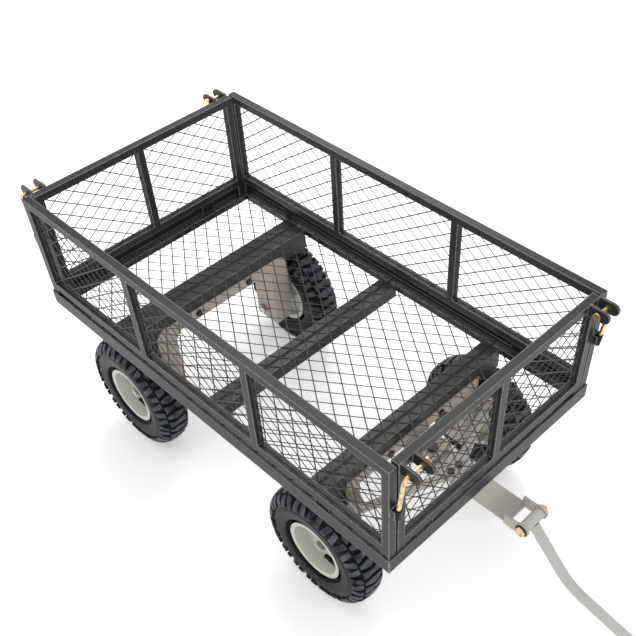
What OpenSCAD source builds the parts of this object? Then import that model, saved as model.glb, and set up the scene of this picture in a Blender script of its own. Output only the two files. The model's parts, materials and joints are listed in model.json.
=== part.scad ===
// Steel mesh garden cart: an angle frame bed with a mesh floor, four lift-out mesh
// panels held by corner latches, four pneumatic wheels, linked front steering and a
// pull handle. X points forward to the handle, Y to the left, Z up; the ground is
// z = 0 and the origin is under the middle of the whole cart.

/* [Bed] */
// Length of the bed over its rails
bed_l = 1220; // [1120:10:1400]
// Width of the bed over its rails
bed_w = 676; // [656:2:760]
// Height of the rails' lip above the ground
lip_z = 418; // [414:1:450]
// Height of a rail's outer plate
rail_h = 40; // [34:1:44]
// Sheet thickness of the rails
rail_t = 3; // [2:0.5:4]
// Depth of the rails' inner shelf below the lip
shelf_drop = 22; // [18:1:26]
// Width of the shelf inside the lip
shelf_w = 25; // [23:1:34]
// Width of the middle crossbar under the floor
middle_bar_w = 50; // [30:5:80]
// Depth of the middle crossbar
middle_bar_h = 36; // [20:2:50]
// Depth of the front and rear crossbars that carry the axles
axle_bar_h = 60; // [56:1:64]
// Sheet thickness of the crossbars
bar_t = 3; // [2:0.5:4]

/* [Mesh] */
// Thickness of the expanded mesh
mesh_t = 2.5; // [1.5:0.5:4]
// Width of one strand of the mesh
strand_w = 3; // [2:0.5:5]
// Length of a floor diamond along the bed
floor_pitch_x = 60; // [45:1:90]
// Width of a floor diamond across the bed
floor_pitch_y = 40; // [30:1:60]
// Length of a panel diamond
panel_pitch_x = 54; // [40:1:80]
// Height of a panel diamond
panel_pitch_z = 38; // [30:1:60]

/* [Panels] */
// Height of the panels' top above the lip
panel_rise = 285; // [240:5:400]
// Side of the square tube
tube_w = 20; // [18:1:24]
// Wall of the square tube
tube_t = 1.5; // [1:0.25:2.5]
// Gap from the lip's top to the bottom rail
rail_gap = 14; // [8:1:24]
// Distance of the side panels' uprights from the middle
upright_x = 202; // [140:2:260]
// Distance of the side panels' tabs from the middle
side_tab_x = 413; // [360:1:450]
// Distance of the end panels' tabs from the middle
end_tab_y = 183; // [120:1:220]
// Width of a tab
tab_w = 40; // [24:1:50]
// Thickness of a tab
tab_t = 4; // [3:0.5:5]

/* [Latches] */
// Distance of the latch rod from the end panel's face
latch_off = 25; // [20:0.5:28]
// Height of the latch rod below the panel's top
latch_drop = 10; // [8:1:30]
// Diameter of the latch rod
latch_d = 10; // [8:0.5:11]
// Length of the latch's leg
latch_leg = 130; // [100:1:150]
// Diameter of the black tip
tip_d = 14; // [13:0.5:15]
// Length of the black tip
tip_l = 30; // [20:1:40]
// Thickness of a latch ear
ear_t = 5; // [3:0.5:6]
// Radius of a latch ear
ear_r = 15; // [12:0.5:15.5]
// Distance of an ear's round end beyond the rod
ear_over = 12; // [4:1:14]

/* [Wheels] */
// Outer diameter of the tyre
tyre_d = 332; // [320:1:336]
// Width of the tyre
tyre_w = 96; // [90:1:100]
// Height of the tyre above the rim's barrel
tyre_h = 93.5; // [92:0.5:100]
// Height of the rim's flanges above the barrel
flange_h = 9.5; // [6:0.5:12]
// Sheet thickness of the rim
rim_t = 2.5; // [2:0.25:3.5]
// Distance of a wheel's middle from the bed's side
wheel_inset = 54; // [50:1:56]
// Place of the front axle ahead of the bed's middle
front_axle_x = 350; // [330:1:360]
// Place of the rear axle ahead of the bed's middle
rear_axle_x = -378; // [-400:1:-350]
// Diameter of the axle
axle_d = 16; // [14:0.5:18]
// Outer diameter of a wheel bearing
bearing_d = 35; // [32:1:38]
// Width of a wheel bearing
bearing_w = 11; // [8:1:14]

/* [Undercarriage] */
// Width of the rear axle carrier
rear_carrier_w = 75; // [70:1:90]
// Distance of the rear carrier's middle ahead of the axle
rear_carrier_off = 12; // [0:1:16]
// Width of the front axle beam
front_beam_w = 50; // [48:1:60]
// Sheet thickness of the carrier, beam and legs
carrier_t = 4; // [3:0.5:5]
// Distance of the rear legs' inner faces from the bed's side
rear_leg_inset = 168; // [158:1:188]
// Distance of the legs' flanges from the bed's side
leg_inset = 110; // [108:1:116]
// Height of the legs' lower ends above the ground
leg_low_z = 135; // [110:1:145]
// Distance of the carrier bolts from the middle
carrier_bolt_y = 88; // [50:1:120]

/* [Steering] */
// Distance of the kingpins from the bed's side
kingpin_inset = 128; // [127:1:131]
// Distance of the tongue's pivot ahead of the front axle
tongue_pivot_off = 80; // [72:1:90]
// Length of the steering arms along the cart
arm_x = 70; // [66:1:76]
// Offset of the steering arms across the cart
arm_y = 14; // [13:0.5:14.5]
// Width of the tie rods
tie_rod_w = 22; // [18:1:24]
// Thickness of the arms, tie rods and tongue
plate_t = 6; // [4:0.5:7]
// Width of the tongue
tongue_w = 70; // [60:1:80]
// Height of the tongue's top above the ground
tongue_top_z = 316; // [312:1:317]

/* [Handle] */
// Place of the handle's pivot ahead of the bed's middle
clevis_x = 720; // [710:1:760]
// Height of the handle's pivot above the ground
clevis_z = 324; // [318:1:330]
// Length of the bush between the clevis ears
bush_l = 60; // [50:1:70]
// Outer diameter of the bush
bush_d = 27; // [22:1:32]
// Diameter of the handle's bolt
handle_bolt_d = 14; // [12:0.5:16]
// Diameter of the handle's tube
handle_d = 25; // [20:0.5:28]
// Wall of the handle's tube
handle_wall = 2; // [1.5:0.25:3]
// Place of the handle's bend ahead of the bed's middle
bend_x = 845; // [830:1:870]
// Height of the handle's bend above the ground
bend_z = 195; // [180:1:210]
// Place of the grip bar ahead of the bed's middle
grip_x = 1656; // [1500:2:1750]
// Length of the grip loop
loop_l = 100; // [90:1:120]
// Width of the grip loop between its bars' middles
loop_w = 124; // [110:1:140]
// Corner radius of the grip loop
loop_r = 28; // [20:1:34]
// Diameter of the grip loop's bar
loop_d = 14; // [12:0.5:16]
// Diameter of the grip's sleeve
sleeve_d = 30; // [26:1:34]

/* [Hidden] */
$fn = 64;

// Colours
black_coat = "#3a3a3c";
taupe_coat = "#9a9088";
zinc_yellow = "#d2b57e";
rim_grey = "#b9bab5";
rubber_black = "#1e1e20";
tongue_grey = "#9f9a94";
tube_grey = "#a8a8a4";
bolt_black = "#2a2a2a";

// Clearances
run_gap = 0.05;
seat_gap = 0.3;
panel_gap = 0.5;
corner_gap = 6;
slot_gap = 1;
seam_gap = 1;
eps = 0.01;

// Bed
half_l = bed_l / 2;
half_w = bed_w / 2;
rail_low_z = lip_z - rail_h;
shelf_z = lip_z - shelf_drop;
floor_top_z = shelf_z + mesh_t;
rail_in = rail_t + shelf_w;
tab_in = rail_t + slot_gap + tab_t;
mesh_in = tab_in + 3 * slot_gap;

// Panels
panel_out_x = half_l - rail_t - panel_gap;
panel_out_y = half_w - rail_t - panel_gap;
panel_top_z = lip_z + panel_rise;
panel_low_z = lip_z + rail_gap;
end_half_y = panel_out_y - tube_w - corner_gap;
bore_w = tube_w - 2 * tube_t;
tab_reach = 12;
tab_depth = panel_low_z - shelf_z + rail_t + tab_reach;

// Latches
latch_x = panel_out_x + latch_off;
latch_z = panel_top_z - latch_drop;
latch_in = 12.5;
latch_y = panel_out_y - latch_in;
latch_rod_l = 64;
latch_bend_r = 9;
disc_d = 19;
disc_t = 4;
ear_places = [18, 53];
catch_base_t = 1.5;
catch_cheek_t = 2.3;
catch_depth = 12;
catch_h = 24;
catch_gap = 0.7;
latch_tilt = asin((latch_off - catch_base_t - seat_gap - tip_d / 2) / latch_leg);

// Wheels
tyre_r = tyre_d / 2;
wheel_y = half_w - wheel_inset;
barrel_r = tyre_r - tyre_h;
flange_r = barrel_r + flange_h;
rim_half_w = 36;
hub_in = 38;
hub_out = 10;
hub_wall = 4.5;
dish_step = 8;
dish_r = barrel_r - rim_t - dish_step;
axle_r = axle_d / 2;
boss_r = axle_r + 3;
axle_end = hub_out + 14;
nut_af = 24;
nut_h = 11.5;
valve_r = 6;
valve_foot_r = valve_r + 2;
valve_foot = sqrt(pow(barrel_r - rim_t - seat_gap, 2) - pow(valve_foot_r, 2));
valve_l = barrel_r - rim_t - 28;
valve_place = 26;

// Undercarriage
rear_leg_y = half_w - rear_leg_inset;
leg_reach = half_w - leg_inset;
bar_low_z = shelf_z - axle_bar_h;
carrier_lap = 26;
web_z = bar_low_z - carrier_t - 1;
lap_z = bar_low_z + carrier_lap;
bolt_z = bar_low_z + 11;
carrier_corner_r = 34;
rear_mid_x = rear_axle_x + rear_carrier_off;
m10_r = 5;
m10_af = 16;
m10_head = 6.4;
m12_r = 6;
m12_af = 18;
m12_head = 7.5;
m16_r = 8;
m16_af = 24;
m16_head = 10;

// Steering
kingpin_y = half_w - kingpin_inset;
knuckle_w = front_beam_w + 2;
knuckle_top_z = web_z - seat_gap;
knuckle_in = kingpin_y - 24;
pivot_x = front_axle_x + tongue_pivot_off;
arm_top_z = tongue_top_z;
arm_low_z = arm_top_z - plate_t;
tie_top_z = arm_low_z - seat_gap;
tie_low_z = tie_top_z - plate_t;
bracket_w = 80;
bracket_end = 25;
pivot_boss_r = 22;
rear_end_r = tongue_w / 2;
ear_plate_t = 6;
ear_plate_r = 18;
ear_overlap = 48;
plate_stop = 38;

// Handle
bush_r = bush_d / 2;
sleeve_r = sleeve_d / 2;
drop_angle = atan2(clevis_z - bend_z, bend_x - clevis_x);
run_angle = atan2(bend_z - sleeve_r, grip_x - bend_x);
drop_l = norm([bend_x - clevis_x, clevis_z - bend_z]);
run_l = norm([grip_x - bend_x, bend_z - sleeve_r]);
handle_bolt_r = handle_bolt_d / 2;
handle_bolt_af = 22;
handle_bolt_head = 8.5;

// Place of the bed's middle, so that the origin is under the middle of the whole cart
front_end_x = grip_x + sleeve_r;
rear_end_x = -(latch_x + ear_over + ear_r);
bed_x = -(front_end_x + rear_end_x) / 2;

// Shared helpers

module from_bed() translate([bed_x, 0, 0]) children();

module box(x0, x1, y0, y1, z0, z1)
    translate([x0, y0, z0]) cube([x1 - x0, y1 - y0, z1 - z0]);

// Hexagon prism with its flats af apart, standing on z = 0
module hex(af, h) cylinder(h = h, r = af / sqrt(3), $fn = 6);

// Extrudes an outline drawn in Y and Z from x0 to x1
module along_x(x0, x1) translate([x0, 0, 0]) rotate([90, 0, 90]) linear_extrude(x1 - x0) children();

// Extrudes an outline drawn in X and Z from y0 to y1
module along_y(y0, y1) translate([0, y1, 0]) rotate([90, 0, 0]) linear_extrude(y1 - y0) children();

// Bolt standing on z = 0: head above, shank below, nut under the grip
module bolt(r, af, head, grip, tail) {
    hex(af, head);
    translate([0, 0, -grip - tail]) cylinder(h = grip + tail + head / 2, r = r);
    translate([0, 0, -grip - head]) hex(af, head);
}

// Expanded mesh

// Half diagonals of a diamond's hole, once half a strand is taken from each side
function hole_half(a, b) = let (k = strand_w / 2 * norm([a, b])) [a - k / b, b - k / a];

// Sheet l by w in its own plane, centred: whole diamonds inside, half ones at the edges
module mesh_plan(l, w, pitch_l, pitch_w) {
    inner_l = l - 2 * strand_w;
    inner_w = w - 2 * strand_w;
    nx = max(1, round(inner_l / pitch_l));
    ny = max(1, round(inner_w / pitch_w));
    px = inner_l / nx;
    py = inner_w / ny;
    h = hole_half(px / 2, py / 2);
    left = -inner_l / 2;
    low = -inner_w / 2;
    centres = concat(
        [for (i = [0:nx - 1], j = [0:ny - 1]) [left + (i + 0.5) * px, low + (j + 0.5) * py]],
        [for (i = [1:1:nx - 1], j = [1:1:ny - 1]) [left + i * px, low + j * py]]);
    diamonds = [for (c = centres)
        [c + [h[0], 0], c + [0, h[1]], c - [h[0], 0], c - [0, h[1]]]];
    flat_halves = [for (i = [1:1:nx - 1], s = [-1, 1]) let (c = [left + i * px, s * inner_w / 2])
        [c - [h[0], 0], c + [h[0], 0], c - [0, s * h[1]]]];
    tall_halves = [for (j = [1:1:ny - 1], s = [-1, 1]) let (c = [s * inner_l / 2, low + j * py])
        [c - [0, h[1]], c + [0, h[1]], c - [s * h[0], 0]]];
    halves = concat(flat_halves, tall_halves);
    edge = [[-l / 2, -w / 2], [l / 2, -w / 2], [l / 2, w / 2], [-l / 2, w / 2]];
    first_half = len(edge) + 4 * len(diamonds);
    polygon(
        points = concat(edge, [for (d = diamonds, p = d) p], [for (t = halves, p = t) p]),
        paths = concat(
            [[0, 1, 2, 3]],
            [for (i = [0:len(diamonds) - 1]) [for (k = [0:3]) 4 + 4 * i + k]],
            [for (i = [0:1:len(halves) - 1]) [for (k = [0:2]) first_half + 3 * i + k]]));
}

// Bed frame

// Section of a rail whose outer face is at reach: lip plate, shelf and return flange
module rail_section(reach) {
    translate([reach - rail_t, rail_low_z]) square([rail_t, rail_h]);
    translate([reach - rail_in, shelf_z - rail_t]) square([rail_in, rail_t]);
    translate([reach - rail_in, rail_low_z]) square([rail_t, shelf_z - rail_low_z]);
}

// Rail along X with its outer face at +Y, mitred at both ends, with slots for two tabs
module mitred_rail(length, reach, tab_place) {
    difference() {
        intersection() {
            along_x(-length / 2, length / 2) rail_section(reach);
            linear_extrude(lip_z + 1) polygon([
                [-length / 2, reach], [length / 2, reach],
                [length / 2 - rail_in, reach - rail_in], [-length / 2 + rail_in, reach - rail_in]]);
        }
        for (s = [-1, 1])
            box(s * tab_place - tab_w / 2 - slot_gap, s * tab_place + tab_w / 2 + slot_gap,
                reach - tab_in - slot_gap, reach - rail_t, shelf_z - rail_t - 1, shelf_z + 1);
    }
}

module bed_rail_left() color(black_coat) from_bed() mitred_rail(bed_l, half_w, side_tab_x);

module bed_rail_right() color(black_coat) from_bed()
    mirror([0, 1, 0]) mitred_rail(bed_l, half_w, side_tab_x);

module bed_rail_front() color(black_coat) from_bed()
    rotate([0, 0, -90]) mitred_rail(bed_w, half_l, end_tab_y);

module bed_rail_rear() color(black_coat) from_bed()
    rotate([0, 0, 90]) mitred_rail(bed_w, half_l, end_tab_y);

// Floor mesh in four sheets, whose seams lie on the crossbars
module floor_mesh() color(black_coat) from_bed() {
    seams = [-half_l + mesh_in, rear_mid_x, 0, front_axle_x, half_l - mesh_in];
    for (i = [0:len(seams) - 2])
        translate([(seams[i] + seams[i + 1]) / 2, 0, shelf_z]) linear_extrude(mesh_t)
            mesh_plan(seams[i + 1] - seams[i] - seam_gap, bed_w - 2 * mesh_in, floor_pitch_x, floor_pitch_y);
}

// Channel under the floor, open downward
module crossbar(x, w, h) {
    reach = half_w - rail_in;
    difference() {
        box(x - w / 2, x + w / 2, -reach, reach, shelf_z - h, shelf_z);
        box(x - w / 2 + bar_t, x + w / 2 - bar_t, -reach - 1, reach + 1, shelf_z - h - 1, shelf_z - bar_t);
        if (h == axle_bar_h) carrier_bolt_holes(x, w);
    }
}

module carrier_bolt_holes(x, w)
    for (s = [-1, 1])
        translate([x - w, s * carrier_bolt_y, bolt_z]) rotate([0, 90, 0])
            cylinder(h = 2 * w, r = m10_r + run_gap);

module crossbar_rear() color(black_coat) from_bed() crossbar(rear_mid_x, rear_carrier_w, axle_bar_h);

module crossbar_middle() color(black_coat) from_bed() crossbar(0, middle_bar_w, middle_bar_h);

module crossbar_front() color(black_coat) from_bed() crossbar(front_axle_x, front_beam_w, axle_bar_h);

// Axle carriers

// Rectangle with round upper corners, centred on Y
module round_top(half, z0, z1, r) {
    translate([-half, z0]) square([2 * half, z1 - z0 - r]);
    translate([-half + r, z0]) square([2 * (half - r), z1 - z0]);
    for (s = [-1, 1]) translate([s * (half - r), z1 - r]) circle(r = r);
}

// The arch that the pressed channel is bent round, t larger all over
module arch_plan(t) round_top(rear_leg_y + t, 0, web_z + t, carrier_corner_r + t);

module rear_axle_carrier() color(taupe_coat) from_bed() {
    outer = rear_carrier_w / 2 + carrier_t;
    inner = rear_carrier_w / 2;
    difference() {
        along_x(rear_mid_x - outer, rear_mid_x + outer) difference() {
            round_top(leg_reach, leg_low_z, lap_z, carrier_corner_r);
            arch_plan(0);
        }
        along_x(rear_mid_x - inner, rear_mid_x + inner) difference() {
            translate([-leg_reach - 1, leg_low_z - 1]) square([2 * leg_reach + 2, lap_z]);
            arch_plan(carrier_t);
        }
        carrier_bolt_holes(rear_mid_x, rear_carrier_w);
        for (s = [-1, 1]) axle_line(rear_axle_x, s)
            translate([0, 0, rear_leg_y - wheel_y - 1])
                cylinder(h = leg_reach - rear_leg_y + 2, r = axle_r + run_gap);
    }
    for (s = [-1, 1]) axle_line(rear_axle_x, s) axle_boss(rear_leg_y + carrier_t);
}

// Turns +Z outward along the axle, with z = 0 at the wheel's middle
module axle_line(x, side)
    translate([x, side * wheel_y, tyre_r]) rotate([-90 * side, 0, 0]) children();

// Spacer tube on the axle from a leg's web to the wheel's bearing
module axle_boss(from_y)
    translate([0, 0, from_y - wheel_y - eps]) difference() {
        cylinder(h = wheel_y - from_y - hub_in - seat_gap + eps, r = boss_r);
        translate([0, 0, -1]) cylinder(h = wheel_y, r = axle_r + run_gap);
    }

module front_axle_beam() color(taupe_coat) from_bed() {
    outer = front_beam_w / 2 + carrier_t;
    inner = front_beam_w / 2;
    difference() {
        union() {
            difference() {
                box(front_axle_x - outer, front_axle_x + outer, -leg_reach, leg_reach, web_z, lap_z);
                box(front_axle_x - inner, front_axle_x + inner, -leg_reach - 1, leg_reach + 1,
                    web_z + carrier_t, lap_z + 1);
            }
            box(front_axle_x - outer, pivot_x + bracket_end, -bracket_w / 2, bracket_w / 2,
                web_z - plate_t, web_z);
            translate([pivot_x, 0, tongue_top_z + seat_gap])
                cylinder(h = web_z - tongue_top_z - seat_gap - eps, r = pivot_boss_r);
        }
        carrier_bolt_holes(front_axle_x, front_beam_w);
        translate([pivot_x, 0, tongue_top_z]) cylinder(h = 40, r = m16_r + run_gap);
        for (s = [-1, 1]) translate([front_axle_x, s * kingpin_y, web_z - 1])
            cylinder(h = carrier_t + 2, r = m12_r + run_gap);
    }
}

// Short bolt through a carrier's flange and the crossbar's flange inside it
module carrier_bolt(x, dir, y)
    translate([x, y, bolt_z]) rotate([0, 90 * dir, 0])
        bolt(m10_r, m10_af, m10_head, carrier_t + bar_t, m10_head + 2.6);

module carrier_bolts() color(bolt_black) from_bed()
    for (dir = [-1, 1], s = [-1, 1]) {
        carrier_bolt(rear_mid_x + dir * (rear_carrier_w / 2 + carrier_t), dir, s * carrier_bolt_y);
        carrier_bolt(front_axle_x + dir * (front_beam_w / 2 + carrier_t), dir, s * carrier_bolt_y);
    }

module rear_axle_shafts() color("silver") from_bed()
    for (s = [-1, 1]) axle_line(rear_axle_x, s) {
        translate([0, 0, rear_leg_y - wheel_y]) cylinder(h = wheel_y - rear_leg_y + axle_end, r = axle_r);
        translate([0, 0, rear_leg_y - wheel_y - nut_h]) hex(nut_af, nut_h);
    }

module axle_nut(x, side)
    axle_line(x, side) translate([0, 0, hub_out + seat_gap]) difference() {
        hex(nut_af, nut_h);
        translate([0, 0, -1]) cylinder(h = nut_h + 2, r = axle_r + run_gap);
    }

module rear_axle_nuts() color("silver") from_bed()
    for (s = [-1, 1]) axle_nut(rear_axle_x, s);

module axle_nut_front_left() color("silver") from_bed() axle_nut(front_axle_x, 1);

module axle_nut_front_right() color("silver") from_bed() axle_nut(front_axle_x, -1);

// Steering

module steering_pivot_bolts() color(bolt_black) from_bed() {
    for (s = [-1, 1]) translate([front_axle_x, s * kingpin_y, web_z + carrier_t])
        bolt(m12_r, m12_af, m12_head, carrier_t + plate_t + 2 * seat_gap, m12_head + 1);
    translate([pivot_x, 0, web_z])
        bolt(m16_r, m16_af, m16_head, web_z - arm_low_z + seat_gap, m16_head + 1);
}

// Upright channel on its kingpin, with the stub axle and the steering arm
module knuckle(side) {
    half = knuckle_w / 2;
    web_out = knuckle_in + carrier_t;
    foot_reach = leg_reach - 6;
    pin_x = front_axle_x + arm_x;
    pin_y = kingpin_y + arm_y;
    mirror([0, side < 0 ? 1 : 0, 0]) {
        difference() {
            union() {
                along_x(front_axle_x - half, front_axle_x + half) polygon([
                    [knuckle_in, leg_low_z], [foot_reach, leg_low_z], [leg_reach, knuckle_top_z - 60],
                    [leg_reach, knuckle_top_z], [knuckle_in, knuckle_top_z]]);
                translate([0, 0, arm_low_z]) linear_extrude(plate_t) {
                    polygon([
                        [front_axle_x + half - 1, kingpin_y - 14], [pin_x, pin_y - tie_rod_w / 2],
                        [pin_x, pin_y + tie_rod_w / 2], [front_axle_x + half - 1, leg_reach]]);
                    translate([pin_x, pin_y]) circle(r = tie_rod_w / 2);
                }
            }
            box(front_axle_x - half + carrier_t, front_axle_x + half - carrier_t,
                web_out, leg_reach + 1, leg_low_z - 1, knuckle_top_z - plate_t);
            translate([front_axle_x, kingpin_y, knuckle_top_z - plate_t - 1])
                cylinder(h = plate_t + 2, r = m12_r + run_gap);
            translate([pin_x, pin_y, arm_low_z - 1]) cylinder(h = plate_t + 2, r = m10_r + 2 * run_gap);
        }
        axle_line(front_axle_x, 1) translate([0, 0, web_out - wheel_y - eps]) {
            cylinder(h = wheel_y - web_out + axle_end + eps, r = axle_r);
            cylinder(h = wheel_y - web_out - hub_in - seat_gap + eps, r = boss_r);
        }
    }
}

module knuckle_left() color(taupe_coat) from_bed() knuckle(1);

module knuckle_right() color(taupe_coat) from_bed() knuckle(-1);

// Flat bar from the tongue to a steering arm, with a fixed stud at the arm's end
module tie_rod(side) {
    inner_end = [pivot_x + arm_x, arm_y];
    outer_end = [front_axle_x + arm_x, kingpin_y + arm_y];
    span = outer_end - inner_end;
    mirror([0, side < 0 ? 1 : 0, 0]) {
        translate([inner_end[0], inner_end[1], tie_low_z])
            rotate([0, 0, atan2(span[1], span[0])]) difference() {
                linear_extrude(plate_t) {
                    translate([0, -tie_rod_w / 2]) square([norm(span), tie_rod_w]);
                    circle(r = tie_rod_w / 2);
                    translate([norm(span), 0]) circle(r = tie_rod_w / 2);
                }
                translate([0, 0, -1]) cylinder(h = plate_t + 2, r = m10_r + run_gap);
            }
        translate([outer_end[0], outer_end[1], arm_top_z + seat_gap]) {
            hex(m10_af, m10_head);
            translate([0, 0, tie_low_z - arm_top_z]) cylinder(h = arm_top_z - tie_low_z, r = m10_r);
        }
    }
}

module tie_rod_left() color(tongue_grey) from_bed() tie_rod(1);

module tie_rod_right() color(tongue_grey) from_bed() tie_rod(-1);

module tie_rod_bolts() color(bolt_black) from_bed()
    for (s = [-1, 1]) translate([pivot_x + arm_x, s * arm_y, tongue_top_z])
        bolt(m10_r, m10_af, m10_head, tongue_top_z - tie_low_z + seat_gap, m10_head + 1);

// Flat tongue with two clevis ears for the handle's bush
module tongue() color(tongue_grey) from_bed() {
    rear_round_x = pivot_x - bracket_end + rear_end_r;
    plate_end = clevis_x - plate_stop;
    difference() {
        union() {
            translate([0, 0, arm_low_z]) linear_extrude(plate_t) {
                translate([rear_round_x, -tongue_w / 2]) square([plate_end - rear_round_x, tongue_w]);
                translate([rear_round_x, 0]) circle(r = rear_end_r);
            }
            for (s = [-1, 1]) {
                y0 = s * (bush_l / 2 + panel_gap + ear_plate_t / 2);
                along_y(y0 - ear_plate_t / 2, y0 + ear_plate_t / 2) {
                    translate([clevis_x - ear_overlap, clevis_z - ear_plate_r])
                        square([ear_overlap, 2 * ear_plate_r - 6]);
                    translate([clevis_x, clevis_z]) circle(r = ear_plate_r);
                }
            }
        }
        translate([pivot_x, 0, arm_low_z - 1]) cylinder(h = plate_t + 2, r = m16_r + run_gap);
        for (s = [-1, 1]) translate([pivot_x + arm_x, s * arm_y, arm_low_z - 1])
            cylinder(h = plate_t + 2, r = m10_r + run_gap);
        translate([clevis_x, bush_l, clevis_z]) rotate([90, 0, 0])
            cylinder(h = 2 * bush_l, r = handle_bolt_r + run_gap);
    }
}

module handle_pivot_bolt() color(zinc_yellow) from_bed() {
    outside = bush_l / 2 + panel_gap + ear_plate_t;
    translate([clevis_x, -outside, clevis_z]) rotate([90, 0, 0])
        bolt(handle_bolt_r, handle_bolt_af, handle_bolt_head, 2 * outside, handle_bolt_head + 3);
}

// Handle

module handle_bush() color(tongue_grey) from_bed()
    translate([clevis_x, bush_l / 2, clevis_z]) rotate([90, 0, 0]) difference() {
        cylinder(h = bush_l, r = bush_r);
        translate([0, 0, -1]) cylinder(h = bush_l + 2, r = handle_bolt_r + run_gap);
    }

// The tube's path as a solid of radius r: a steep drop, a ball at the elbow and the long run
module handle_path(r) {
    translate([clevis_x, 0, clevis_z]) rotate([0, 90 + drop_angle, 0]) cylinder(h = drop_l, r = r);
    translate([bend_x, 0, bend_z]) rotate([0, 90 + run_angle, 0]) {
        sphere(r = r);
        cylinder(h = run_l - loop_l, r = r);
    }
}

module handle_tube() color(tube_grey) from_bed() difference() {
    handle_path(handle_d / 2);
    handle_path(handle_d / 2 - handle_wall);
    translate([clevis_x, bush_l, clevis_z]) rotate([90, 0, 0]) cylinder(h = 2 * bush_l, r = bush_r + run_gap);
    at_grip() translate([-loop_l, -loop_w, 0]) rotate([-90, 0, 0])
        cylinder(h = 2 * loop_w, r = loop_d / 2 + run_gap);
}

// Puts the grip bar's middle at the origin, with +X along the handle's run
module at_grip() translate([grip_x, 0, sleeve_r]) rotate([0, run_angle, 0]) children();

module handle_grip() color(tube_grey) from_bed() at_grip() {
    half = loop_w / 2;
    for (x = [-loop_l, 0]) translate([x, -half + loop_r, 0]) rotate([-90, 0, 0])
        cylinder(h = loop_w - 2 * loop_r, r = loop_d / 2);
    for (s = [-1, 1]) translate([-loop_l + loop_r, s * half, 0]) rotate([0, 90, 0])
        cylinder(h = loop_l - 2 * loop_r, r = loop_d / 2);
    corners = [
        [-loop_r, half - loop_r, 0], [-loop_l + loop_r, half - loop_r, 90],
        [-loop_l + loop_r, -half + loop_r, 180], [-loop_r, -half + loop_r, 270]];
    for (c = corners) translate([c[0], c[1], 0]) rotate([0, 0, c[2]])
        rotate_extrude(angle = 90) translate([loop_r, 0]) circle(r = loop_d / 2);
}

module grip_sleeve() color(rubber_black) from_bed() at_grip() {
    half = loop_w / 2 - loop_r;
    translate([0, -half, 0]) rotate([-90, 0, 0]) difference() {
        cylinder(h = 2 * half, r = sleeve_r);
        translate([0, 0, -1]) cylinder(h = 2 * half + 2, r = loop_d / 2 + run_gap);
    }
}

// Wheels, drawn about Z with +Z outward

// Section of the tyre: round carcass, square tread band and two beads round the cavity
module tyre_section() {
    half = tyre_w / 2;
    wall = 9;
    band_drop = 5;
    bead_drop = 25;
    middle_r = tyre_r - half;
    bead_r = barrel_r + seat_gap;
    bead_half = rim_half_w - rim_t - seat_gap;
    difference() {
        union() {
            translate([middle_r, 0]) circle(r = half);
            translate([middle_r, -half + wall]) square([half - band_drop, 2 * (half - wall)]);
            translate([bead_r, -bead_half]) square([middle_r - bead_r - bead_drop, 2 * bead_half]);
        }
        translate([middle_r, 0]) circle(r = half - wall);
        translate([0, -bead_half + wall]) square([middle_r, 2 * (bead_half - wall)]);
        translate([0, -half]) square([bead_r, 2 * half]);
    }
}

module tyre(x, side) color(rubber_black) from_bed() axle_line(x, side)
    rotate_extrude($fn = 96) tyre_section();

// Section of the rim: barrel with two flanges, dished disc and hub with bearing seats
module rim_section() {
    seat_r = bearing_d / 2;
    hub_r = seat_r + hub_wall;
    bore_r = seat_r - 2.5;
    in_r = barrel_r - rim_t;
    lip = rim_half_w - rim_t;
    polygon([
        [in_r, rim_half_w], [flange_r, rim_half_w], [flange_r, lip], [barrel_r, lip],
        [barrel_r, -lip], [flange_r, -lip], [flange_r, -rim_half_w], [in_r, -rim_half_w],
        [in_r, -dish_step - rim_t], [dish_r - 1, -dish_step - rim_t],
        [dish_r - dish_step - 1, -rim_t], [hub_r, -rim_t], [hub_r, -hub_in], [seat_r, -hub_in],
        [seat_r, -hub_in + bearing_w], [bore_r, -hub_in + bearing_w],
        [bore_r, hub_out - bearing_w], [seat_r, hub_out - bearing_w], [seat_r, hub_out],
        [hub_r, hub_out], [hub_r, 0], [dish_r - dish_step, 0], [dish_r, -dish_step], [in_r, -dish_step]]);
}

module rim(x, side) color(rim_grey) from_bed() axle_line(x, side)
    rotate_extrude($fn = 96) rim_section();

module bearings(x, side) color("silver") from_bed() axle_line(x, side)
    for (z = [-hub_in, hub_out - bearing_w]) translate([0, 0, z]) difference() {
        cylinder(h = bearing_w, r = bearing_d / 2 - run_gap);
        translate([0, 0, -1]) cylinder(h = bearing_w + 2, r = axle_r + run_gap);
    }

// Valve stem that points in from the rim's barrel, on the wheel's forward side
module valve(x, side) color(rubber_black) from_bed() axle_line(x, side)
    translate([valve_foot, 0, valve_place]) rotate([0, -90, 0]) {
        cylinder(h = 6, r = valve_foot_r);
        cylinder(h = valve_l * 0.7, r = valve_r);
        cylinder(h = valve_l, r = valve_r - 1.2);
    }

// Panels

// Vertical tube from z0 to z1 with its middle at x, w square
module post(x, w, z0, z1) box(x - w / 2, x + w / 2, -w / 2, w / 2, z0, z1);

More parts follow.
